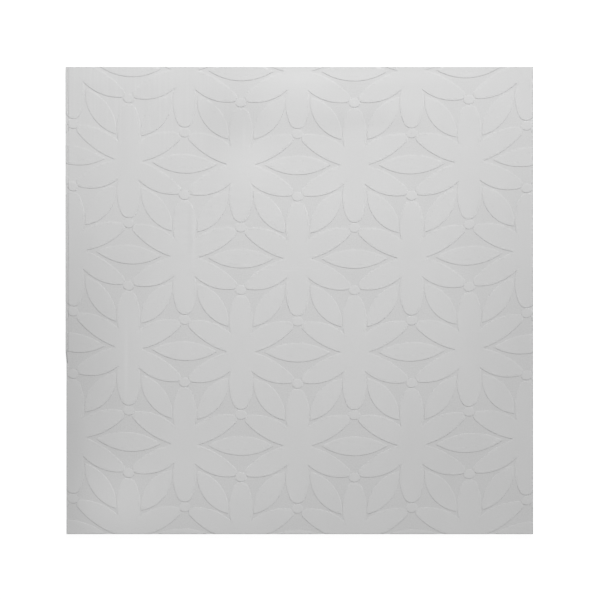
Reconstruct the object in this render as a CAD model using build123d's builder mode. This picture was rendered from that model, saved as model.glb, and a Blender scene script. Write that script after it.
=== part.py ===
from build123d import *
import os
from math import asin, atan2, ceil, cos, degrees, radians, sin

# Square lay-in ceiling tile: a flat board whose face is embossed with a lattice of six-petal flowers.
# The tile lies on its back. The origin is the centre of the back, +Z points out of the face,
# and +Y points to the edge that is at the top when the face is looked at squarely.
# The raised parts of the face are flowers, lens-shaped leaves between neighbouring flowers, and
# oval beads where three petal tips come together. The edges cut through all of them, because
# the pattern runs on from tile to tile and is not centred on the tile.

# Board (mm)
tile_side = 595.0  # drops into a ceiling grid with a 600 mm module
tile_thickness = 7.0  # from the back to the top of the raised pattern
relief_height = 0.5  # from the ground between the raised parts to their tops

# Lattice of flowers (mm)
column_pitch = 144.6  # between flowers of one row
row_pitch = 119.2  # between rows, staggered by half a column
pattern_shift_x = -2.4  # from the middle of the tile to the flower next to it
pattern_shift_y = 52.8
pattern_bow = 12.8  # rise of every row from the middle of the tile to its side edges
pattern_drift = 3.2  # shift of the pattern to the right at both side edges
pattern_tilt = 0.8  # fall of every row from the middle of the tile to its right edge
flower_middle = 18.5  # radius of the round middle that the petals grow from

# Upright petals, measured from the middle of the flower (mm)
upright_tip = 72.8  # where the petal ends
upright_tip_radius = 10.5
upright_belly = 40.0  # where the petal is widest
upright_half_width = 15.2  # there, to each side

# Slanting petals, measured from a root on the flower's upright axis (mm, degrees)
slant_angle = 25.0  # from the row
slant_root = 4.8  # from the middle of the flower
slant_tip = 73.6
slant_tip_radius = 6.0
slant_outer_belly = 38.0  # where the side away from the row bulges most
slant_outer_half = 14.4
slant_inner_belly = 32.0  # where the straighter side along the row bulges most
slant_inner_half = 12.9

# Leaves and beads (mm, degrees)
row_leaf_length = 82.6  # between two flowers of one row
row_leaf_width = 24.3
slant_leaf_length = 66.8  # between two flowers of neighbouring rows
slant_leaf_width = 25.8
slant_leaf_angle = 53.4  # from the row
bead_width = 14.4
bead_height = 11.8

# Chords that each curve is divided into, few because the outlines repeat all over the face
side_chords = 5
tip_chords = 5
leaf_chords = 6
round_chords = 12

half_side = tile_side / 2
ground_height = tile_thickness - relief_height
ground = Plane.XY.offset(ground_height)


def curve(centre, radius_x, radius_y, start, end, chords):
    """Points on an arc of a circle or an oval, from one angle to another in degrees."""
    angles = [radians(start + (end - start) * step / chords) for step in range(chords + 1)]
    return [centre + Vector(radius_x * cos(angle), radius_y * sin(angle)) for angle in angles]


def mirrored(points):
    """The same points on the other side of the X axis, in the order that goes on round the outline."""
    return [Vector(point.X, -point.Y) for point in reversed(points)]


def drawn(spot):
    """Place of a point of the pattern on the film, which was drawn askew over the board."""
    reach = spot.X / half_side
    return (spot.X + pattern_drift * reach**2, spot.Y + pattern_bow * abs(reach) ** 3 - pattern_tilt * reach)


def laid(points, place, angle):
    """Face with the outline of a motif, turned and moved to its place in the drawn pattern."""
    spots = [drawn(place + point.rotate(Axis.Z, angle)) for point in points]
    with BuildSketch(ground) as outline:
        with BuildLine():
            Polyline(*spots, close=True)
        make_face()
    return outline.sketch


def petal_side(tip, tip_radius, belly, half_width):
    """Long side arc of a petal along X, and the angle at which it runs smoothly into the round tip."""
    reach = tip - tip_radius - belly
    side_radius = (half_width**2 + reach**2 - tip_radius**2) / (2 * (half_width - tip_radius))
    side_centre = Vector(belly, half_width - side_radius)
    root_angle = 90 + degrees(asin(belly / side_radius))
    join_angle = degrees(atan2(-side_centre.Y, reach))
    return curve(side_centre, side_radius, side_radius, root_angle, join_angle, side_chords), join_angle


def petal(tip, tip_radius, left_belly, left_half, right_belly, right_half):
    """Outline of a petal along X: a side arc, the round tip, and the arc of the other side."""
    left, left_join = petal_side(tip, tip_radius, left_belly, left_half)
    right, right_join = petal_side(tip, tip_radius, right_belly, right_half)
    round_tip = curve(Vector(tip - tip_radius, 0), tip_radius, tip_radius, left_join, -right_join, tip_chords)
    return left + round_tip[1:-1] + mirrored(right)


def leaf(length, width):
    """Outline of a leaf along X: two equal arcs that meet in points."""
    half_length = length / 2
    half_width = width / 2
    radius = (half_length**2 + half_width**2) / width
    spread = degrees(asin(half_length / radius))
    side = curve(Vector(0, half_width - radius), radius, radius, 90 + spread, 90 - spread, leaf_chords)
    return side + mirrored(side)[1:-1]


def oval(width, height):
    """Outline of an oval."""
    return curve(Vector(0, 0), width / 2, height / 2, 0, 360, round_chords)[:-1]


upright_side = (upright_belly, upright_half_width)
upright_petal = petal(upright_tip, upright_tip_radius, *upright_side, *upright_side)
outer_side = (slant_outer_belly, slant_outer_half)
inner_side = (slant_inner_belly, slant_inner_half)
slant_petal_outer_left = petal(slant_tip, slant_tip_radius, *outer_side, *inner_side)
slant_petal_outer_right = petal(slant_tip, slant_tip_radius, *inner_side, *outer_side)
middle_disc = oval(2 * flower_middle, 2 * flower_middle)
row_leaf = leaf(row_leaf_length, row_leaf_width)
slant_leaf = leaf(slant_leaf_length, slant_leaf_width)
bead = oval(bead_width, bead_height)


def flower(place):
    """Six petals that grow together in a round middle."""
    faces = [laid(middle_disc, place, 0)]
    for up in (1, -1):
        root = place + Vector(0, up * slant_root)
        faces.append(laid(upright_petal, place, up * 90))
        slant_petals = (slant_petal_outer_left, slant_petal_outer_right)[::up]
        faces.append(laid(slant_petals[0], root, up * slant_angle))
        faces.append(laid(slant_petals[1], root, up * (180 - slant_angle)))
    with BuildSketch(ground) as outline:
        add(faces)
    return outline.sketch


# Raised parts all over the face and past its edges
raised = []
row_count = ceil((half_side + abs(pattern_shift_y)) / row_pitch) + 1
column_count = ceil((half_side + abs(pattern_shift_x)) / column_pitch) + 1
for row in range(-row_count, row_count + 1):
    for column in range(-column_count, column_count + 1):
        x = pattern_shift_x + (column + row % 2 / 2) * column_pitch
        y = pattern_shift_y + row * row_pitch
        if abs(x) > half_side + column_pitch or abs(y) > half_side + row_pitch:
            continue
        raised.append(flower(Vector(x, y)))
        raised.append(laid(row_leaf, Vector(x + column_pitch / 2, y), 0))
        for side in (1, -1):
            slant_place = Vector(x + side * column_pitch / 4, y + row_pitch / 2)
            raised.append(laid(slant_leaf, slant_place, side * slant_leaf_angle))
            raised.append(laid(bead, Vector(x, y + side * row_pitch * 2 / 3), 0))

with BuildPart() as tile:
    # Board up to the ground of the pattern
    with BuildSketch():
        Rectangle(tile_side, tile_side)
    extrude(amount=ground_height)
    # Raised parts, cut off flush by the four edges
    with BuildSketch(ground):
        add(raised)
        Rectangle(tile_side, tile_side, mode=Mode.INTERSECT)
    extrude(amount=relief_height)

os.makedirs("parts", exist_ok=True)
tile.part.label = "tile"
export_step(tile.part, "parts/tile.step")
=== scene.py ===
"""Looks of a square lay-in ceiling tile: a board with a lattice of flowers embossed in its film face.

The tile lies on its back with its face up. The origin is the centre of the back, +Z points out of
the face and +Y to the edge that is at the top in the camera's view. All lengths are in metres.
"""

from math import asin, atan2, radians, sin, sqrt

import bpy
from bpy.props import FloatProperty, FloatVectorProperty, IntProperty, PointerProperty
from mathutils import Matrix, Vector


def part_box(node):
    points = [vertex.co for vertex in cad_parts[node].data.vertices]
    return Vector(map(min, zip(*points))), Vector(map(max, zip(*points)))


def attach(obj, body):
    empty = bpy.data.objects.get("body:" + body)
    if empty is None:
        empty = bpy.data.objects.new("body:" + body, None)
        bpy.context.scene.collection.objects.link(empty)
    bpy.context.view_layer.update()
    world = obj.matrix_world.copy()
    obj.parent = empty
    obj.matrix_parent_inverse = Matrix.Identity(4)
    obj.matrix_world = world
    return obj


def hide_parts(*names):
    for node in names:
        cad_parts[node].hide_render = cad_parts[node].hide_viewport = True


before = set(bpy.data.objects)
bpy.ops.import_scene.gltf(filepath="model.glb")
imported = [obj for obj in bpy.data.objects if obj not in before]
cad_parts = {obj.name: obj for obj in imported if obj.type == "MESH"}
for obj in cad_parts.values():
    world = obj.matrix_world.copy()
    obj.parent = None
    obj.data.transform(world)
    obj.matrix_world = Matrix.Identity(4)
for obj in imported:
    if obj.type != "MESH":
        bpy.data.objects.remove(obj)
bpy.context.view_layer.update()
tile_low, tile_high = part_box("tile")

bl_info = {
    "name": "Embossed Ceiling Tile",
    "version": (1, 0, 0),
    "blender": (4, 5, 0),
    "location": "3D View > Sidebar > Ceiling Tile",
    "description": "Dresses a square ceiling tile with its embossed film face",
    "category": "Object",
}

# How a raised part is rooted in the board, as depths below the ground of the pattern
ROOT_DEPTH = 0.001
FOOT_DEPTH = 0.00005

# Limits of the mesh tools
MERGE_REACH = 0.000001  # vertices of an outline that are nearer than this become one
SEAM_REACH = 0.00001  # and so do those of a flower whose petals were united
SLIVER_REACH = 0.000002  # edges shorter than this go after the last cut
FLAT_TURN = radians(0.5)  # faces of a flower that turn less than this become one
SMOOTH_TURN = radians(40)  # edges that turn less than this look round
LEVEL_NORMAL = 0.9  # least rise of the normal of a face that counts as level

# Room that keeps a test clear of the line it tests, and that a cutter runs past the edge it cuts
TEST_ROOM = 0.0001
CUTTER_ROOM = 0.002

# Two waves that the groove along the fold sways in: radians from step to step, and the second one's lead
SLOW_SWAY = 0.9
QUICK_SWAY = 2.3
SWAY_LEAD = 1

# Shares of the relief's height between which the finish of the ground turns into that of the raised parts
WALL_FOOT = 0.2
WALL_HEAD = 0.8

# Painted light and shade of the film's soft waves and of the uneven light over the face: centre, reach across
# and along, and change of the tone at the centre
PAINTED_WAVE_SHADING = (
    ((-0.297, -0.05), (0.11, 0.29), -0.11),
    ((-0.204, 0.05), (0.045, 0.1), -0.03),
    ((-0.21, 0.294), (0.14, 0.03), 0.035),
    ((-0.297, -0.2), (0.035, 0.2), -0.065),
    ((-0.086, 0.23), (0.075, 0.06), -0.055),
    ((0.064, 0.229), (0.1, 0.022), -0.03),
    ((0.096, 0.286), (0.24, 0.016), 0.03),
    ((-0.005, 0.282), (0.085, 0.034), 0.045),
    ((-0.064, 0.176), (0.06, 0.06), 0.038),
    ((-0.0705, 0.21), (0.0035, 0.032), 0.03),
    ((-0.1345, 0.085), (0.0035, 0.055), 0.03),
    ((-0.1395, 0.085), (0.005, 0.055), -0.025),
    ((-0.2205, -0.08), (0.004, 0.075), 0.04),
    ((-0.226, -0.03), (0.016, 0.05), 0.012),
    ((-0.228, -0.254), (0.08, 0.07), 0.07),
    ((0.297, -0.03), (0.14, 0.32), -0.055),
    ((-0.13, -0.235), (0.2, 0.1), 0.05),
    ((-0.06, -0.02), (0.25, 0.25), 0.014),
    ((0.04, 0.135), (0.23, 0.075), 0.022),
    ((0.02, 0.228), (0.36, 0.035), -0.016),
    ((0.175, -0.175), (0.09, 0.11), -0.028),
)


def length(name, description, default):
    """Property that holds a length in metres."""
    return FloatProperty(name=name, description=description, default=default, unit="LENGTH", precision=5)


def angle(name, description, default):
    """Property that holds an angle, written in degrees."""
    return FloatProperty(name=name, description=description, default=radians(default), subtype="ANGLE")


def share(name, description, default):
    """Property that holds a share from nothing to all."""
    return FloatProperty(name=name, description=description, default=default, subtype="FACTOR", min=0, max=1)


def count(name, description, default):
    """Property that holds a number of steps or copies."""
    return IntProperty(name=name, description=description, default=default, min=1)


def place(name, description, default):
    """Property that holds a place in metres."""
    return FloatVectorProperty(
        name=name, description=description, default=default, subtype="TRANSLATION", unit="LENGTH", precision=4
    )


def spot(name, description, default):
    """Property that holds a place, a reach or a size across and along the face, in metres."""
    return FloatVectorProperty(
        name=name, description=description, default=default, size=2, unit="LENGTH", precision=5
    )


def limits(name, description, default, unit="NONE"):
    """Property that holds the two values between which something fades in."""
    return FloatVectorProperty(
        name=name, description=description, default=default, size=2, unit=unit, precision=5
    )


class TileBoard(bpy.types.PropertyGroup):
    """Sizes of the board, whose side and thickness come from the solid tile"""

    side: length("Side", "Length of each edge", tile_high.x - tile_low.x)
    thickness: length("Thickness", "From the back to the top of the relief", tile_high.z - tile_low.z)
    relief: length("Relief", "From the ground of the pattern to the tops of its raised parts", 0.0005)
    wall_run: length("Wall run", "Width of the soft wall beside a raised part, seen from above", 0.0001)
    wall_lean: length("Wall lean", "How far the raised parts lean to the upper edge of the tile", 0.00009)
    wall_rings: count("Wall rings", "Steps in which the soft wall climbs", 4)
    rim_run: length("Rim run", "Width of the domed rim on top of the raised parts", 0.0022)
    rim_drop: length("Rim drop", "Fall of the top towards the rim's outer side", 0.00012)
    edge_round: length("Edge round", "Radius of the film where it turns over the edges", 0.0008)
    edge_steps: count("Edge steps", "Steps in which the film turns over the edges", 4)


class TilePattern(bpy.types.PropertyGroup):
    """Sizes of the embossed lattice"""

    column_pitch: length("Column pitch", "Between flowers of one row", 0.1446)
    row_pitch: length("Row pitch", "Between rows, which are staggered by half a column", 0.1192)
    shift_x: length("Shift across", "From the middle of the tile to the flower next to it", -0.0024)
    shift_y: length("Shift up", "From the middle of the tile to the flower next to it", 0.0528)
    bow: length("Bow", "Rise of every row from the middle of the tile to its side edges", 0.0128)
    drift: length("Drift", "Shift of the pattern to the right at both side edges", 0.0032)
    tilt: length("Tilt", "Fall of every row from the middle of the tile to its right edge", 0.0008)
    columns: count("Columns", "Flowers in a row, those past the edges included", 6)
    row_pairs: count("Row pairs", "Pairs of rows, those past the edges included", 4)
    middle_radius: length("Middle", "Radius of the round middle of a flower", 0.0185)
    upright_tip: length("Upright tip", "From the middle of the flower to the tip of an upright petal", 0.0728)
    upright_tip_radius: length("Upright tip radius", "Roundness of the tip", 0.0105)
    upright_belly: length("Upright belly", "From the middle of the flower to the widest place", 0.04)
    upright_half: length("Upright half width", "From the middle line to each side there", 0.0152)
    slant_angle: angle("Slant angle", "Between a slanting petal and the row", 25)
    slant_root: length("Slant root", "Height of the slanting petals' root over the middle", 0.0048)
    slant_tip: length("Slant tip", "From the root to the tip of a slanting petal", 0.0736)
    slant_tip_radius: length("Slant tip radius", "Roundness of the tip", 0.006)
    outer_belly: length("Outer belly", "From the root to the bulge of the side away from the row", 0.038)
    outer_half: length("Outer half width", "From the middle line to that bulge", 0.0144)
    inner_belly: length("Inner belly", "From the root to the bulge of the side along the row", 0.032)
    inner_half: length("Inner half width", "From the middle line to that bulge", 0.0129)
    row_leaf_length: length("Row leaf length", "Leaf between two flowers of one row", 0.0826)
    row_leaf_width: length("Row leaf width", "Leaf between two flowers of one row", 0.0243)
    slant_leaf_length: length("Slant leaf length", "Leaf between flowers of two rows", 0.0668)
    slant_leaf_width: length("Slant leaf width", "Leaf between flowers of two rows", 0.0258)
    slant_leaf_angle: angle("Slant leaf angle", "Between such a leaf and the row", 53.4)
    bead_width: length("Bead width", "Oval bead where three petal tips meet", 0.0144)
    bead_height: length("Bead height", "Oval bead where three petal tips meet", 0.0118)
    side_steps: count("Side steps", "Steps along each long side of a petal or leaf", 14)
    tip_steps: count("Tip steps", "Steps round the tip of a petal", 12)
    round_steps: count("Round steps", "Steps round a bead, and half those round a flower's middle", 28)


class TileEdges(bpy.types.PropertyGroup):
    """Sizes of the left edge, over which the film is folded"""

    groove_place: length("Groove place", "From the left edge to the groove along the fold", 0.0029)
    groove_width: length("Groove width", "Width of the groove", 0.0006)
    groove_depth: length("Groove depth", "From the raised parts' tops to the bottom of the groove", 0.0008)
    groove_sway: length("Groove sway", "How far the groove sways from one step to the next", 0.0003)
    groove_steps: count("Groove steps", "Steps along the groove", 30)
    fold_top: length("Fold top", "Height on the face at which the fold ends", -0.066)
    fold_bottom: length("Fold bottom", "Height on the face below which the edge is worn", -0.08)
    worn_depth: length("Worn depth", "How far the edge is worn back below the fold", 0.0011)
    gap_width: length("Gap width", "Width of the gap at the end of the fold", 0.0009)
    gap_depth: length("Gap depth", "Depth of the gap", 0.002)
    gap_inset: length("Gap inset", "From the edge to the middle of the gap", 0.0011)


class TileFinish(bpy.types.PropertyGroup):
    """Finish of the film, of the sides and of the back"""

    film_shade: share("Film", "Shade of the raised parts", 0.615)
    ground_shade: share("Ground", "Shade of the ground", 0.588)
    core_shade: share("Core", "Shade of the gypsum core at the edges", 0.66)
    back_shade: share("Back", "Shade of the paper on the back", 0.5)
    grain_size: length("Grain size", "Size of the fine grain of the ground", 0.0016)
    film_speckle: share("Film speckle", "How much the fine grain shows on the raised parts", 0.07)
    ground_speckle: share("Ground speckle", "How much more it shows on the ground", 0.16)
    chalk_size: spot("Chalk size", "Size of the core's grain", (0.0012, 0.0012))
    chalk_grain: share("Chalk grain", "How much the core's grain shows", 0.25)
    fibre_size: spot("Fibre size", "Size of the fibres in the paper", (0.006, 0.0007))
    fibre_grain: share("Fibre grain", "How much the fibres show", 0.12)
    film_depth: limits("Film depth", "Depths below the ground where film ends", (0.0008, 0.0011), "LENGTH")
    back_normal: limits("Back normal", "Rise of the normal where a side becomes the back", (-0.3, -0.7))
    film_rough: share("Film roughness", "Roughness of the film", 0.62)
    core_rough: share("Core roughness", "How much rougher the core is", 0.3)
    bump_share: share("Bump", "Strength of the fine grain's bump", 0.2)
    bump_height: length("Bump height", "Height of the fine grain's bump", 0.0002)


class TileMarks(bpy.types.PropertyGroup):
    """Marks of the film and painted light and shade on it, with their strengths as shares of its tone"""

    smooth_centre: spot("Smooth centre", "Where the ground has hardly any grain", (-0.28, 0.25))
    smooth_reach: spot("Smooth reach", "Reach of that smooth stretch", (0.36, 0.34))
    smooth_corner: share("Smooth corner", "How smooth the ground is there", 0.95)
    smooth_rise: limits("Smooth rise", "Heights where the ground turns smoother", (-0.1, 0.3), "LENGTH")
    smooth_top: share("Smooth top", "How much smoother it is above them", 0.25)
    smooth_run: limits("Smooth run", "Places across where the ground turns smoother", (0.08, 0.24), "LENGTH")
    smooth_right: share("Smooth right", "How much smoother it is to the right of them", 0.2)
    mottle_size: spot("Mottle size", "Size of the faint mottle all over", (0.03, 0.045))
    mottle: share("Mottle", "Strength of the mottle", 0.04)
    # Painted light and shade of short wrinkles
    wrinkle_size: spot("Wrinkle size", "Size of the short wrinkles", (0.022, 0.006))
    wrinkle_centre: spot("Wrinkle centre", "Where the wrinkles are, left of the middle", (-0.1, 0.1))
    wrinkle_reach: spot("Wrinkle reach", "Reach of the wrinkles", (0.13, 0.12))
    painted_wrinkle_shade: share("Wrinkles", "Strength of the wrinkles", 0.07)
    # Painted light and shade of fine upright streaks
    streak_size: spot("Streak size", "Size of the fine upright streaks", (0.003, 0.15))
    streak_centre: spot("Streak centre", "Where the streaks are, near the upper left corner", (-0.21, 0.27))
    streak_reach: spot("Streak reach", "Reach of the streaks", (0.2, 0.16))
    painted_streak_shade: share("Streaks", "Strength of the streaks", 0.09)
    scuff_size: spot("Scuff size", "Size of the scuffs", (0.025, 0.0012))
    scuff_limits: limits("Scuff limits", "Values of the noise between which a scuff fades in", (0.06, 0.16))
    scuff_centre: spot("Scuff centre", "Where the scuffs are, across the middle", (0.013, 0.041))
    scuff_reach: spot("Scuff reach", "Reach of the scuffs", (0.2, 0.012))
    scuff: share("Scuffs", "Strength of the scuffs", 0.06)
    # Painted highlight where the crimp of the right edge faces the light
    highlight_strip_insets: limits("Light strip", "From the right edge to its light strip", (0.0034, 0.0028), "LENGTH")
    strip: share("Light strip strength", "How much lighter that strip is", 0.045)
    dot_insets: limits("Dotted strip", "From the right edge to its dotted strip", (0.0021, 0.0015), "LENGTH")
    dot_size: spot("Dot size", "Size of the dots, which go right across their strip", (1, 0.0017))
    dot_limits: limits("Dot limits", "Values of the noise between which a dot fades in", (-0.12, 0.12))
    dot: share("Dots", "How much darker the dots are", 0.2)


class TileStage(bpy.types.PropertyGroup):
    """Floor, light and camera"""

    floor_size: length("Floor size", "Length of each side of the floor", 12)
    floor_drop: length("Floor drop", "From the back of the tile down to the floor", 0.0005)
    floor_touch: length("Floor touch", "How near a surface lies for which the floor is clear", 0.003)
    floor_paint: share("Floor paint", "Shade that takes the tile's shadow", 0.2)
    floor_glow: share("Floor glow", "Light that keeps the floor nearly white", 0.925)
    key_place: place("Key place", "Where the key light hangs", (0.481, 1.795, 1.673))
    key_aim: place("Key aim", "Where the key light points", (-0.11, -0.019, 0))
    key_size: length("Key size", "Width of the key light", 0.6)
    key_power: FloatProperty(
        name="Key power", description="Power of the key light", default=9.95, unit="POWER"
    )
    key_spread: angle("Key spread", "How widely the key light throws its light", 79)
    fill: share("Fill", "Strength of the soft light from all around", 0.37)
    view_place: place("View place", "Where the camera hangs", (0.00077, 0.0005, 2.1281))
    lens: FloatProperty(name="Lens", description="Focal length in millimetres", default=100.0)


def rest():
    """Leave edit mode and deselect everything."""
    if bpy.context.object and bpy.context.object.mode != "OBJECT":
        bpy.ops.object.mode_set(mode="OBJECT")
    bpy.ops.object.select_all(action="DESELECT")


def take(piece):
    """Make a piece the only one that is selected, and the active one."""
    rest()
    piece.select_set(True)
    bpy.context.view_layer.objects.active = piece


def edit_all():
    """Go into edit mode with the whole mesh selected."""
    bpy.ops.object.mode_set(mode="EDIT")
    bpy.ops.mesh.select_all(action="SELECT")


def select_where(piece, kind, wanted):
    """Select the vertices or faces of the piece in edit mode that pass a test."""
    bpy.ops.mesh.select_mode(type=kind)
    bpy.ops.mesh.select_all(action="DESELECT")
    bpy.ops.object.mode_set(mode="OBJECT")
    for part in piece.data.vertices if kind == "VERT" else piece.data.polygons:
        part.select = wanted(part)
    bpy.ops.object.mode_set(mode="EDIT")


def looks_up(face):
    """Whether a face is level and looks up."""
    return face.normal.z > LEVEL_NORMAL


def block(name, size):
    """Box of a size about the origin, left in edit mode with all of it selected."""
    rest()
    bpy.ops.mesh.primitive_cube_add(size=1)
    piece = bpy.context.object
    piece.name = name
    edit_all()
    bpy.ops.transform.resize(value=size)
    return piece


def turned_copy(piece, turn, shift):
    """Copy of a piece with its own mesh, turned anticlockwise about the origin and moved."""
    take(piece)
    bpy.ops.object.duplicate()
    copied = bpy.context.object
    edit_all()
    bpy.ops.transform.rotate(value=-turn, orient_axis="Z", center_override=(0, 0, 0))
    bpy.ops.transform.translate(value=(shift.x, shift.y, 0))
    bpy.ops.object.mode_set(mode="OBJECT")
    return copied


def join(piece, other):
    """Make the mesh of another piece part of a piece's own."""
    take(piece)
    other.select_set(True)
    bpy.ops.object.join()


def combine(piece, other, operation):
    """Unite a piece with another, cut the other out of it or keep what both share, and remove the other."""
    take(piece)
    boolean = piece.modifiers.new(other.name, "BOOLEAN")
    boolean.operation = operation
    boolean.solver = "MANIFOLD"
    boolean.object = other
    bpy.ops.object.modifier_apply(modifier=boolean.name)
    bpy.data.objects.remove(other)


def repeat(piece, copies, step):
    """Copy the whole mesh of a piece along a step, again and again."""
    take(piece)
    array = piece.modifiers.new("copies", "ARRAY")
    array.use_relative_offset = False
    array.use_constant_offset = True
    array.constant_offset_displace = step
    array.count = copies
    bpy.ops.object.modifier_apply(modifier=array.name)


def begin_outline(name, start):
    """One vertex at the start of an outline, made of a plane that is merged into its centre."""
    rest()
    bpy.ops.mesh.primitive_plane_add(size=1)
    outline = bpy.context.object
    outline.name = name
    bpy.ops.object.mode_set(mode="EDIT")
    bpy.ops.mesh.select_mode(type="VERT")
    bpy.ops.mesh.merge(type="CENTER")
    bpy.ops.transform.translate(value=(start.x, start.y, 0))
    return outline


def sweep(centre, turn, steps):
    """Carry the end of the outline clockwise round a centre."""
    bpy.ops.mesh.spin(steps=steps, angle=turn, center=(centre.x, centre.y, 0), axis=(0, 0, 1))


def close_outline():
    """Join the ends of the outline and fill it."""
    bpy.ops.mesh.select_all(action="SELECT")
    bpy.ops.mesh.remove_doubles(threshold=MERGE_REACH)
    bpy.ops.mesh.edge_face_add()
    bpy.ops.object.mode_set(mode="OBJECT")


def petal_side(board, tip, tip_radius, belly, half_width):
    """Centre, radius, turn and end of the arc along one side of a petal that lies along X."""
    reach = tip - tip_radius - belly
    radius = (half_width**2 + reach**2 - tip_radius**2) / (2 * (half_width - tip_radius))
    centre = Vector((belly, half_width - radius))
    outer = radius + board.wall_run / 2
    join_angle = atan2(-centre.y, reach)
    turn = radians(90) + asin(belly / outer) - join_angle
    return centre, outer, turn, join_angle


def petal(name, board, pattern, tip, tip_radius, left, right):
    """Outline of a petal along X: a long side arc, the round tip, and the arc of the other side."""
    left_centre, left_radius, left_turn, left_join = petal_side(board, tip, tip_radius, *left)
    right_centre, _, right_turn, right_join = petal_side(board, tip, tip_radius, *right)
    root = left_centre.y + sqrt(left_radius**2 - left_centre.x**2)
    outline = begin_outline(name, Vector((0, root)))
    sweep(left_centre, left_turn, pattern.side_steps)
    sweep(Vector((tip - tip_radius, 0)), left_join + right_join, pattern.tip_steps)
    sweep(Vector((right_centre.x, -right_centre.y)), right_turn, pattern.side_steps)
    close_outline()
    return outline


def leaf(name, board, pattern, leaf_length, width):
    """Outline of a leaf along X: two equal arcs that meet in points."""
    radius = (leaf_length**2 + width**2) / (4 * width)
    drop = radius - width / 2
    outer = radius + board.wall_run / 2
    tip = sqrt(outer**2 - drop**2)
    turn = 2 * asin(tip / outer)
    outline = begin_outline(name, Vector((-tip, 0)))
    sweep(Vector((0, -drop)), turn, pattern.side_steps)
    sweep(Vector((0, drop)), turn, pattern.side_steps)
    close_outline()
    return outline


def oval(name, board, width, height, steps):
    """Outline of a circle or an oval."""
    spread = board.wall_run
    rest()
    bpy.ops.mesh.primitive_circle_add(vertices=steps, radius=0.5, fill_type="NGON")
    outline = bpy.context.object
    outline.name = name
    edit_all()
    bpy.ops.transform.resize(value=(width + spread, height + spread, 1))
    bpy.ops.object.mode_set(mode="OBJECT")
    return outline


def raise_outline(outline, board):
    """Make a filled outline a pad that stands in the board and ends at the foot of its wall."""
    root = board.thickness - board.relief - ROOT_DEPTH
    take(outline)
    edit_all()
    bpy.ops.transform.translate(value=(0, 0, root))
    bpy.ops.mesh.extrude_region_move(TRANSFORM_OT_translate={"value": (0, 0, ROOT_DEPTH - FOOT_DEPTH)})
    bpy.ops.mesh.select_all(action="SELECT")
    bpy.ops.mesh.normals_make_consistent(inside=False)
    bpy.ops.object.mode_set(mode="OBJECT")


def climb(pad, board):
    """Inset the top of the pad ring by ring, so that its leaning wall climbs in a soft S to a domed rim."""
    ground = board.thickness - board.relief
    take(pad)
    bpy.ops.object.mode_set(mode="EDIT")
    select_where(pad, "FACE", looks_up)
    for ring in range(board.wall_rings):
        part = (ring + 1) / board.wall_rings
        height = ground + (board.relief - board.rim_drop) * part**2 * (3 - 2 * part)
        bpy.ops.mesh.inset(thickness=board.wall_run / board.wall_rings)
        bpy.ops.transform.translate(value=(0, board.wall_lean / board.wall_rings, 0))
        bpy.ops.transform.resize(value=(1, 1, 0), center_override=(0, 0, height))
    bpy.ops.mesh.inset(thickness=board.rim_run)
    bpy.ops.transform.resize(value=(1, 1, 0), center_override=(0, 0, board.thickness))
    bpy.ops.object.mode_set(mode="OBJECT")


def spread_lattice(motif, board, pattern):
    """Copy a motif that stands at the first flower all over the face, and draw the film askew."""
    repeat(motif, 2, (pattern.column_pitch / 2, pattern.row_pitch, 0))
    repeat(motif, pattern.columns, (pattern.column_pitch, 0, 0))
    repeat(motif, pattern.row_pairs, (0, 2 * pattern.row_pitch, 0))
    start_x = pattern.shift_x - pattern.columns // 2 * pattern.column_pitch
    start_y = pattern.shift_y - pattern.row_pairs * pattern.row_pitch
    edit_all()
    bpy.ops.transform.translate(value=(start_x, start_y, 0))
    bpy.ops.object.mode_set(mode="OBJECT")
    for vertex in motif.data.vertices:
        reach = vertex.co.x / (board.side / 2)
        vertex.co.x += pattern.drift * reach**2
        vertex.co.y += pattern.bow * abs(reach) ** 3 - pattern.tilt * reach


class CEILING_TILE_OT_flowers(bpy.types.Operator):
    """Model one flower of six petals and copy it over the lattice"""

    bl_idname = "ceiling_tile.flowers"
    bl_label = "Flowers"

    def execute(self, context):
        board = context.scene.tile_board
        pattern = context.scene.tile_pattern
        upright_side = (pattern.upright_belly, pattern.upright_half)
        outer_side = (pattern.outer_belly, pattern.outer_half)
        inner_side = (pattern.inner_belly, pattern.inner_half)
        upright_tip = (pattern.upright_tip, pattern.upright_tip_radius)
        slant_tip = (pattern.slant_tip, pattern.slant_tip_radius)
        upright = petal("upright_petal", board, pattern, *upright_tip, upright_side, upright_side)
        outer_left = petal("outer_left_petal", board, pattern, *slant_tip, outer_side, inner_side)
        outer_right = petal("outer_right_petal", board, pattern, *slant_tip, inner_side, outer_side)
        middle = 2 * pattern.middle_radius
        flowers = oval("flowers", board, middle, middle, 2 * pattern.round_steps)
        raise_outline(flowers, board)
        for side, slants in ((1, (outer_left, outer_right)), (-1, (outer_right, outer_left))):
            root = Vector((0, side * pattern.slant_root))
            petals = [turned_copy(upright, side * radians(90), Vector((0, 0)))]
            petals.append(turned_copy(slants[0], side * pattern.slant_angle, root))
            petals.append(turned_copy(slants[1], side * (radians(180) - pattern.slant_angle), root))
            for piece in petals:
                raise_outline(piece, board)
                combine(flowers, piece, "UNION")
        for piece in (upright, outer_left, outer_right):
            bpy.data.objects.remove(piece)
        take(flowers)
        edit_all()
        bpy.ops.mesh.remove_doubles(threshold=SEAM_REACH)
        bpy.ops.mesh.dissolve_limited(angle_limit=FLAT_TURN)
        climb(flowers, board)
        spread_lattice(flowers, board, pattern)
        return {"FINISHED"}


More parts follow.
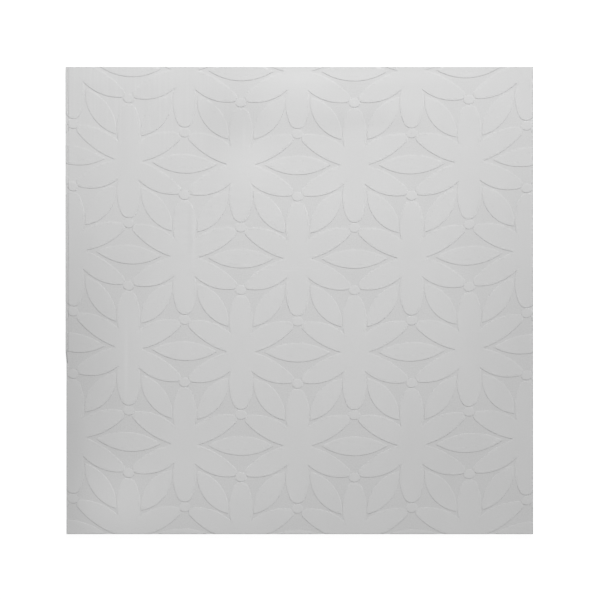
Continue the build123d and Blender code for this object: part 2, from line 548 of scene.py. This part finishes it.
class CEILING_TILE_OT_leaves(bpy.types.Operator):
    """Model the leaves between neighbouring flowers and copy them over the lattice"""

    bl_idname = "ceiling_tile.leaves"
    bl_label = "Leaves"

    def execute(self, context):
        board = context.scene.tile_board
        pattern = context.scene.tile_pattern
        row_leaf = leaf("row_leaf", board, pattern, pattern.row_leaf_length, pattern.row_leaf_width)
        raise_outline(row_leaf, board)
        climb(row_leaf, board)
        slant_leaf = leaf("slant_leaf", board, pattern, pattern.slant_leaf_length, pattern.slant_leaf_width)
        raise_outline(slant_leaf, board)
        leaves = turned_copy(row_leaf, 0, Vector((pattern.column_pitch / 2, 0)))
        leaves.name = "leaves"
        for side in (1, -1):
            middle = Vector((side * pattern.column_pitch / 4, pattern.row_pitch / 2))
            copied = turned_copy(slant_leaf, side * pattern.slant_leaf_angle, middle)
            # Every wall leans to the upper edge of the tile, so it climbs after the leaf is turned
            climb(copied, board)
            join(leaves, copied)
        bpy.data.objects.remove(row_leaf)
        bpy.data.objects.remove(slant_leaf)
        spread_lattice(leaves, board, pattern)
        return {"FINISHED"}


class CEILING_TILE_OT_beads(bpy.types.Operator):
    """Model the oval beads where three petal tips meet and copy them over the lattice"""

    bl_idname = "ceiling_tile.beads"
    bl_label = "Beads"

    def execute(self, context):
        board = context.scene.tile_board
        pattern = context.scene.tile_pattern
        bead = oval("bead", board, pattern.bead_width, pattern.bead_height, pattern.round_steps)
        raise_outline(bead, board)
        climb(bead, board)
        beads = turned_copy(bead, 0, Vector((0, pattern.row_pitch * 2 / 3)))
        beads.name = "beads"
        join(beads, turned_copy(bead, 0, Vector((0, -pattern.row_pitch * 2 / 3))))
        bpy.data.objects.remove(bead)
        spread_lattice(beads, board, pattern)
        return {"FINISHED"}


def trimmed_blank(board, edges):
    """Solid in which the finished tile fits, with its worn left edge and rounded upper edges."""
    blank = block("blank", (board.side, board.side, board.thickness))
    bpy.ops.transform.translate(value=(0, 0, board.thickness / 2))
    for height in (edges.fold_top, edges.fold_bottom):
        bpy.ops.mesh.select_all(action="SELECT")
        bpy.ops.mesh.bisect(plane_co=(0, height, 0), plane_no=(0, 1, 0))
    worn_top = edges.fold_bottom + TEST_ROOM
    select_where(blank, "VERT", lambda vertex: vertex.co.x < 0 and vertex.co.y < worn_top)
    bpy.ops.transform.translate(value=(edges.worn_depth, 0, 0))
    select_where(blank, "FACE", looks_up)
    bpy.ops.mesh.dissolve_faces()
    select_where(blank, "FACE", looks_up)
    bpy.ops.mesh.region_to_loop()
    bpy.ops.mesh.bevel(offset=board.edge_round, segments=board.edge_steps, affect="EDGES")
    bpy.ops.object.mode_set(mode="OBJECT")
    return blank


def fold_groove(board, edges):
    """Wavy groove along the left edge, where the film is folded over it."""
    rest()
    bpy.ops.mesh.primitive_plane_add(size=1)
    groove = bpy.context.object
    groove.name = "fold_groove"
    edit_all()
    bpy.ops.transform.resize(value=(edges.groove_width, 2 * edges.groove_depth, 1))
    bpy.ops.transform.rotate(value=-radians(90), orient_axis="X", center_override=(0, 0, 0))
    start = Vector((edges.groove_place - board.side / 2, edges.fold_top, board.thickness))
    bpy.ops.transform.translate(value=start)
    step = (board.side / 2 - edges.fold_top + CUTTER_ROOM) / edges.groove_steps
    for number in range(edges.groove_steps):
        sway = edges.groove_sway * (sin(number * SLOW_SWAY) + sin(number * QUICK_SWAY + SWAY_LEAD)) / 2
        bpy.ops.mesh.extrude_region_move(TRANSFORM_OT_translate={"value": (sway, step, 0)})
    bpy.ops.mesh.select_all(action="SELECT")
    bpy.ops.mesh.normals_make_consistent(inside=False)
    bpy.ops.object.mode_set(mode="OBJECT")
    return groove


def fold_gap(board, edges):
    """Narrow slanting gap at the end of the fold."""
    rise = edges.fold_top - edges.fold_bottom
    gap = block("fold_gap", (edges.gap_width, rise, 2 * edges.gap_depth))
    bpy.ops.transform.rotate(value=-atan2(edges.worn_depth, rise), orient_axis="Z", center_override=(0, 0, 0))
    across = (edges.worn_depth - board.side) / 2 + edges.gap_inset
    middle = (edges.fold_top + edges.fold_bottom) / 2
    bpy.ops.transform.translate(value=(across, middle, board.thickness))
    bpy.ops.object.mode_set(mode="OBJECT")
    return gap


def add_node(tree, kind, **values):
    """Node of a kind, with the values of its settings."""
    node = tree.nodes.new(kind)
    for name, value in values.items():
        setattr(node, name, value)
    return node


def reckon(tree, operation, *values):
    """Socket with the result of a sum on values and sockets."""
    node = add_node(tree, "ShaderNodeMath", operation=operation)
    for socket, value in zip(node.inputs, values):
        if isinstance(value, bpy.types.NodeSocket):
            tree.links.new(value, socket)
        else:
            socket.default_value = value
    return node.outputs[0]


def axes(tree, vector):
    """Sockets with the X, Y and Z of a vector."""
    node = add_node(tree, "ShaderNodeSeparateXYZ")
    tree.links.new(vector, node.inputs[0])
    return node.outputs


def ramp(tree, value, low, high):
    """Socket that climbs softly from 0 to 1 while a value goes from low to high."""
    node = add_node(tree, "ShaderNodeMapRange", interpolation_type="SMOOTHSTEP")
    node.inputs["From Min"].default_value = low
    node.inputs["From Max"].default_value = high
    tree.links.new(value, node.inputs["Value"])
    return node.outputs["Result"]


def scaled(tree, where, centre, reach):
    """Coordinates that are 0 at a centre and 1 at its reach across and along the face."""
    mapping = add_node(tree, "ShaderNodeMapping", vector_type="TEXTURE")
    mapping.inputs["Location"].default_value = (*centre, 0)
    mapping.inputs["Scale"].default_value = (*reach, 1)
    tree.links.new(where, mapping.inputs["Vector"])
    return mapping.outputs["Vector"]


def soft_spot(tree, where, centre, reach):
    """Socket that is 1 at a centre on the face and fades to 0 at its reach across and along."""
    sphere = add_node(tree, "ShaderNodeTexGradient", gradient_type="SPHERICAL")
    tree.links.new(scaled(tree, where, centre, reach), sphere.inputs["Vector"])
    return ramp(tree, sphere.outputs["Fac"], 0, 1)


def grain(tree, where, size):
    """Socket with noise between -0.5 and 0.5, with grains of a size across and along the face."""
    noise = add_node(tree, "ShaderNodeTexNoise")
    noise.inputs["Scale"].default_value = 1
    tree.links.new(scaled(tree, where, (0, 0), size), noise.inputs["Vector"])
    return reckon(tree, "SUBTRACT", noise.outputs["Fac"], 0.5)


def smoothness(tree, where, board, marks):
    """Socket that is 1 on the raised parts and 0 on the grained ground, but more where that is smooth too."""
    across, along, height = axes(tree, where)
    ground = board.thickness - board.relief
    raised = ramp(tree, height, ground + WALL_FOOT * board.relief, ground + WALL_HEAD * board.relief)
    corner = soft_spot(tree, where, marks.smooth_centre, marks.smooth_reach)
    smooth = reckon(tree, "MULTIPLY", corner, marks.smooth_corner)
    smooth = reckon(tree, "MULTIPLY_ADD", ramp(tree, along, *marks.smooth_rise), marks.smooth_top, smooth)
    smooth = reckon(tree, "MULTIPLY_ADD", ramp(tree, across, *marks.smooth_run), marks.smooth_right, smooth)
    return reckon(tree, "MAXIMUM", raised, reckon(tree, "MINIMUM", smooth, 1))


def painted_wave_shading(tree, where, tone):
    """Tone of the film with painted light and shade of its soft waves and of the uneven light over the face.
    """
    for centre, reach, change in PAINTED_WAVE_SHADING:
        tone = reckon(tree, "MULTIPLY_ADD", soft_spot(tree, where, centre, reach), change, tone)
    return tone


def uneven(tree, where, marks, tone):
    """Tone of the film with a faint mottle all over and scuffs in places, and with painted light and shade of
    wrinkles and streaks.
    """
    tone = reckon(tree, "MULTIPLY_ADD", grain(tree, where, marks.mottle_size), marks.mottle, tone)
    # Painted light and shade of wrinkles and of upright streaks; the scuffs are wear
    wrinkle_shading = grain(tree, where, marks.wrinkle_size)
    streak_shading = grain(tree, where, marks.streak_size)
    scuffs = ramp(tree, grain(tree, where, marks.scuff_size), *marks.scuff_limits)
    for mark, centre, reach, strength in (
        (wrinkle_shading, marks.wrinkle_centre, marks.wrinkle_reach, marks.painted_wrinkle_shade),
        (streak_shading, marks.streak_centre, marks.streak_reach, marks.painted_streak_shade),
        (scuffs, marks.scuff_centre, marks.scuff_reach, marks.scuff),
    ):
        patch = reckon(tree, "MULTIPLY", mark, soft_spot(tree, where, centre, reach))
        tone = reckon(tree, "MULTIPLY_ADD", patch, strength, tone)
    return tone


def crimped(tree, where, board, marks, tone):
    """Tone of the film at the crimped right edge: a painted highlight where the crimp faces the light, and a
    dotted dark strip.
    """
    inset = reckon(tree, "SUBTRACT", board.side / 2, axes(tree, where)["X"])
    # Painted highlight where the crimp of the right edge faces the light
    tone = reckon(tree, "MULTIPLY_ADD", ramp(tree, inset, *marks.highlight_strip_insets), marks.strip, tone)
    dots = ramp(tree, grain(tree, where, marks.dot_size), *marks.dot_limits)
    dots = reckon(tree, "MULTIPLY", dots, ramp(tree, inset, *marks.dot_insets))
    return reckon(tree, "MULTIPLY_ADD", dots, -marks.dot, tone)


def film_material(board, finish, marks):
    """Dull satin film with a grained ground, painted light and shade of soft waves, wrinkles and streaks,
    chalky sides and a plain paper back.
    """
    material = bpy.data.materials.new("embossed_film")
    material.use_nodes = True
    tree = material.node_tree
    shader = tree.nodes["Principled BSDF"]
    coordinates = add_node(tree, "ShaderNodeTexCoord")
    where = coordinates.outputs["Object"]

    # Raised parts are smooth and a little lighter than the grained ground
    raised = smoothness(tree, where, board, marks)
    bare = reckon(tree, "SUBTRACT", 1, raised)
    fine = grain(tree, where, (finish.grain_size, finish.grain_size))
    speckle = reckon(tree, "MULTIPLY_ADD", bare, finish.ground_speckle, finish.film_speckle)
    tone = reckon(tree, "MULTIPLY_ADD", fine, speckle, 1)
    # Painted light and shade of the film's waves and of the uneven light over the face
    tone = painted_wave_shading(tree, where, tone)
    # Mottle and scuffs, with painted light and shade of wrinkles and streaks
    tone = uneven(tree, where, marks, tone)
    # Painted highlight at the crimped right edge, and its dotted dark strip
    tone = crimped(tree, where, board, marks, tone)
    lighter = finish.film_shade - finish.ground_shade
    shade = reckon(tree, "MULTIPLY_ADD", raised, lighter, finish.ground_shade)
    shade = reckon(tree, "MULTIPLY", shade, tone)

    # Gypsum shows at the sides and paper on the back
    chalk = grain(tree, where, finish.chalk_size)
    chalk = reckon(tree, "MULTIPLY_ADD", chalk, finish.chalk_grain, finish.core_shade)
    fibres = grain(tree, where, finish.fibre_size)
    fibres = reckon(tree, "MULTIPLY_ADD", fibres, finish.fibre_grain, finish.back_shade)
    depth = reckon(tree, "SUBTRACT", board.thickness - board.relief, axes(tree, where)["Z"])
    side = ramp(tree, depth, *finish.film_depth)
    back = ramp(tree, axes(tree, coordinates.outputs["Normal"])["Z"], *finish.back_normal)
    for mask, other in ((side, chalk), (back, fibres)):
        mix = add_node(tree, "ShaderNodeMix")
        tree.links.new(mask, mix.inputs["Factor"])
        tree.links.new(shade, mix.inputs["A"])
        tree.links.new(other, mix.inputs["B"])
        shade = mix.outputs["Result"]
    tree.links.new(shade, shader.inputs["Base Color"])
    rough = reckon(tree, "MULTIPLY_ADD", side, finish.core_rough, finish.film_rough)
    tree.links.new(rough, shader.inputs["Roughness"])

    # The fine grain is felt on the ground and at the sides
    bump = add_node(tree, "ShaderNodeBump")
    bump.inputs["Strength"].default_value = finish.bump_share
    bump.inputs["Distance"].default_value = finish.bump_height
    felt = reckon(tree, "MULTIPLY", fine, reckon(tree, "MAXIMUM", bare, side))
    tree.links.new(felt, bump.inputs["Height"])
    tree.links.new(bump.outputs["Normal"], shader.inputs["Normal"])
    return material


class CEILING_TILE_OT_board(bpy.types.Operator):
    """Model the board, unite it with the raised pattern, trim its edges and give it its finish"""

    bl_idname = "ceiling_tile.board"
    bl_label = "Board"

    def execute(self, context):
        scene = context.scene
        board = scene.tile_board
        edges = scene.tile_edges
        ground = board.thickness - board.relief
        # The pattern runs past the edges, so the board starts twice as wide and is trimmed with it
        tile = block("embossed_tile", (2 * board.side, 2 * board.side, ground))
        bpy.ops.transform.translate(value=(0, 0, ground / 2))
        for name in ("flowers", "leaves", "beads"):
            combine(tile, bpy.data.objects[name], "UNION")
        combine(tile, trimmed_blank(board, edges), "INTERSECT")
        combine(tile, fold_groove(board, edges), "DIFFERENCE")
        combine(tile, fold_gap(board, edges), "DIFFERENCE")
        take(tile)
        edit_all()
        bpy.ops.mesh.dissolve_degenerate(threshold=SLIVER_REACH)
        bpy.ops.mesh.normals_make_consistent(inside=False)
        bpy.ops.object.mode_set(mode="OBJECT")
        bpy.ops.object.shade_smooth_by_angle(angle=SMOOTH_TURN)
        weighted = tile.modifiers.new("flat tops", "WEIGHTED_NORMAL")
        weighted.keep_sharp = True
        bpy.ops.object.modifier_apply(modifier=weighted.name)
        tile.data.materials.clear()
        tile.data.materials.append(film_material(board, scene.tile_finish, scene.tile_marks))
        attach(tile, "root")
        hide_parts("tile")
        return {"FINISHED"}


def seen_rays(tree):
    """Share of rays that show a backdrop: those of the camera, of reflections and through glass."""
    path = add_node(tree, "ShaderNodeLightPath")
    seen = reckon(tree, "MAXIMUM", path.outputs["Is Camera Ray"], path.outputs["Is Glossy Ray"])
    return reckon(tree, "MAXIMUM", seen, path.outputs["Is Transmission Ray"])


def floor_material(stage):
    """White floor that shows only a faint shadow, and is clear from below and to what lies on it."""
    material = bpy.data.materials.new("white_floor")
    material.use_nodes = True
    tree = material.node_tree
    tree.nodes.remove(tree.nodes["Principled BSDF"])
    output = tree.nodes["Material Output"]
    paint = add_node(tree, "ShaderNodeBsdfDiffuse")
    paint.inputs["Color"].default_value = (stage.floor_paint, stage.floor_paint, stage.floor_paint, 1)
    glow = add_node(tree, "ShaderNodeEmission")
    tree.links.new(seen_rays(tree), glow.inputs["Strength"])
    glow.inputs["Color"].default_value = (stage.floor_glow, stage.floor_glow, stage.floor_glow, 1)
    both = add_node(tree, "ShaderNodeAddShader")
    tree.links.new(paint.outputs[0], both.inputs[0])
    tree.links.new(glow.outputs[0], both.inputs[1])
    clear = add_node(tree, "ShaderNodeBsdfTransparent")
    face = add_node(tree, "ShaderNodeNewGeometry")
    path = add_node(tree, "ShaderNodeLightPath")
    touching = reckon(tree, "LESS_THAN", path.outputs["Ray Length"], stage.floor_touch)
    surface = add_node(tree, "ShaderNodeMixShader")
    tree.links.new(reckon(tree, "MAXIMUM", face.outputs["Backfacing"], touching), surface.inputs["Fac"])
    tree.links.new(both.outputs[0], surface.inputs[1])
    tree.links.new(clear.outputs[0], surface.inputs[2])
    tree.links.new(surface.outputs[0], output.inputs["Surface"])
    return material


def soft_world(strength):
    """Even light from all around, before a white backdrop."""
    world = bpy.data.worlds.new("soft_world")
    world.use_nodes = True
    tree = world.node_tree
    background = tree.nodes["Background"]
    background.inputs["Color"].default_value = (1, 1, 1, 1)
    level = add_node(tree, "ShaderNodeMapRange")
    level.inputs["To Min"].default_value = strength
    level.inputs["To Max"].default_value = 1
    tree.links.new(seen_rays(tree), level.inputs["Value"])
    tree.links.new(level.outputs["Result"], background.inputs["Strength"])
    return world


class CEILING_TILE_OT_stage(bpy.types.Operator):
    """Set up the floor, the key light, the soft light and the camera"""

    bl_idname = "ceiling_tile.stage"
    bl_label = "Stage"

    def execute(self, context):
        scene = context.scene
        stage = scene.tile_stage
        rest()
        bpy.ops.mesh.primitive_plane_add(size=stage.floor_size, location=(0, 0, -stage.floor_drop))
        floor = context.object
        floor.name = "floor"
        floor.data.materials.append(floor_material(stage))
        bpy.ops.object.light_add(type="AREA", location=stage.key_place)
        key = context.object
        key.name = "key_light"
        aim = Vector(stage.key_aim) - Vector(stage.key_place)
        key.rotation_euler = aim.to_track_quat("-Z", "Y").to_euler()
        key.data.size = stage.key_size
        key.data.energy = stage.key_power
        key.data.spread = stage.key_spread
        bpy.ops.object.camera_add(location=stage.view_place, rotation=(0, 0, 0))
        camera = context.object
        camera.name = "view_from_above"
        camera.data.lens = stage.lens
        scene.camera = camera
        scene.world = soft_world(stage.fill)
        scene.view_settings.view_transform = "Standard"
        return {"FINISHED"}


class CEILING_TILE_PT_sidebar(bpy.types.Panel):
    """Steps that build the tile, in their order"""

    bl_label = "Ceiling Tile"
    bl_idname = "CEILING_TILE_PT_sidebar"
    bl_space_type = "VIEW_3D"
    bl_region_type = "UI"
    bl_category = "Ceiling Tile"

    def draw(self, context):
        for step in STEPS:
            self.layout.operator(step.bl_idname)


SETTINGS = {
    "tile_board": TileBoard,
    "tile_pattern": TilePattern,
    "tile_edges": TileEdges,
    "tile_finish": TileFinish,
    "tile_marks": TileMarks,
    "tile_stage": TileStage,
}
STEPS = (
    CEILING_TILE_OT_flowers,
    CEILING_TILE_OT_leaves,
    CEILING_TILE_OT_beads,
    CEILING_TILE_OT_board,
    CEILING_TILE_OT_stage,
)


def register():
    """Register the settings, the steps and the panel."""
    for name, group in SETTINGS.items():
        bpy.utils.register_class(group)
        setattr(bpy.types.Scene, name, PointerProperty(type=group))
    for step in STEPS:
        bpy.utils.register_class(step)
    bpy.utils.register_class(CEILING_TILE_PT_sidebar)


def unregister():
    """Remove what was registered, the other way round."""
    bpy.utils.unregister_class(CEILING_TILE_PT_sidebar)
    for step in reversed(STEPS):
        bpy.utils.unregister_class(step)
    for name, group in reversed(SETTINGS.items()):
        delattr(bpy.types.Scene, name)
        bpy.utils.unregister_class(group)


def main():
    """Build the tile and its stage."""
    register()
    bpy.ops.ceiling_tile.flowers()
    bpy.ops.ceiling_tile.leaves()
    bpy.ops.ceiling_tile.beads()
    bpy.ops.ceiling_tile.board()
    bpy.ops.ceiling_tile.stage()


if __name__ == "__main__":
    main()
